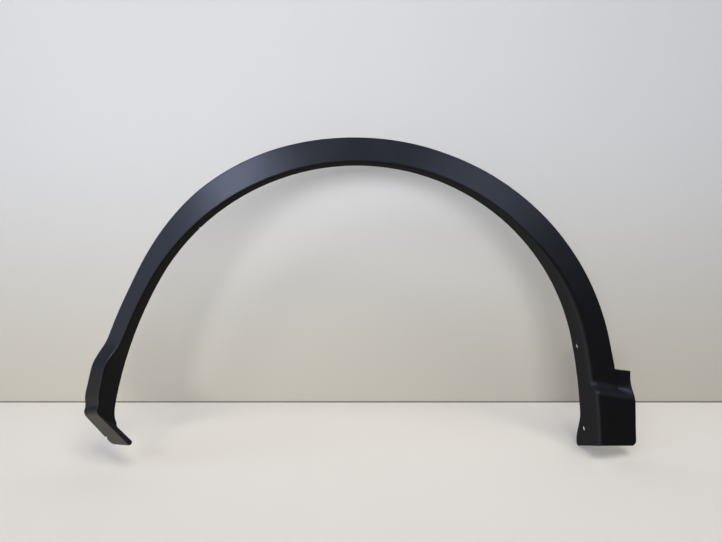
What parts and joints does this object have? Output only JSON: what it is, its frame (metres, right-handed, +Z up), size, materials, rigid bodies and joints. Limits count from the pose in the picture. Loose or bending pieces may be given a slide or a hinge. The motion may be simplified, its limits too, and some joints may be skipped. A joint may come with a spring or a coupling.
{
  "type": "wheel arch trim",
  "caption": "Black plastic wheel arch trim: an arched face with a return flange, a stepped rear foot, a tapering front foot, screw holes and clip seats.",
  "frame": {"origin": "under the middle of the part's box, level with its lowest point, the rear foot's inboard corner; the wheel centre is at X -13.3, Y 0.2, Z 109.6 mm, on the plane where the outer edge meets the wing", "axes": "+X to the rear of the car along the trim's length, +Y inboard, +Z up"},
  "size_m": [0.9024, 0.0845, 0.5256],
  "materials": {
    "black_plastic": "fine grained satin black"
  },
  "bodies": {
    "root": {"arch_trim": "black_plastic"}
  },
  "joints": []
}
